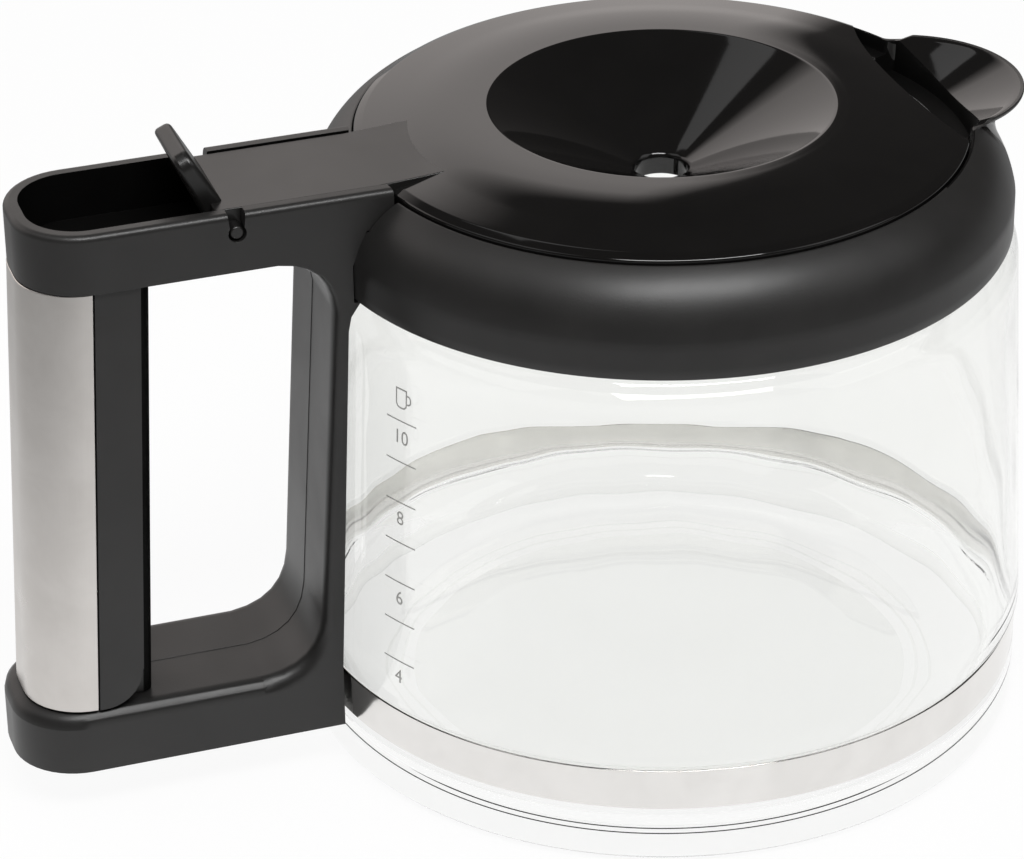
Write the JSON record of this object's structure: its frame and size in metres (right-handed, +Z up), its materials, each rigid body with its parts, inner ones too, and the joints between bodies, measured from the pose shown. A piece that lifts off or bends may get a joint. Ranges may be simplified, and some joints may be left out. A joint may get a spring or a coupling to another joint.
{
  "type": "coffee carafe",
  "caption": "Glass coffee carafe with a spouted black collar, a steel-covered handle, a clamped steel band and a hinged funnel lid with a thumb tab.",
  "frame": {"origin": "centre of the jug's flat base, on the surface it stands on", "axes": "+Z up along the jug's axis, +X towards the spout, so the handle points to -X"},
  "size_m": [0.2078, 0.1452, 0.1345],
  "materials": {
    "glass": "clear",
    "seal": "matte",
    "black_satin": "satin",
    "black_gloss": "gloss",
    "steel_brushed": "brushed",
    "steel_polished": "polished",
    "steel_zinc": "zinc plated"
  },
  "bodies": {
    "jug": {"glass_jug": "glass", "neck_seal": "seal", "collar": "black_satin", "handle_frame": "black_satin", "grip_core": "black_satin", "grip_skin": "steel_brushed", "steel_band": "steel_polished", "band_nut": "steel_zinc", "handle_screw_front": "steel_zinc", "handle_screw_rear": "steel_zinc", "grip_screw_upper": "steel_zinc", "grip_screw_lower": "steel_zinc", "band_screw": "steel_zinc"},
    "lid": {"lid": "black_gloss", "hinge_pin": "black_gloss"}
  },
  "joints": [
    {"name": "lid_hinge", "type": "hinge", "parent": "jug", "child": "lid", "pos_m": [-0.0882, 0, 0.1205], "axis": [0, -1, 0], "range_deg": [0, 70]}
  ]
}
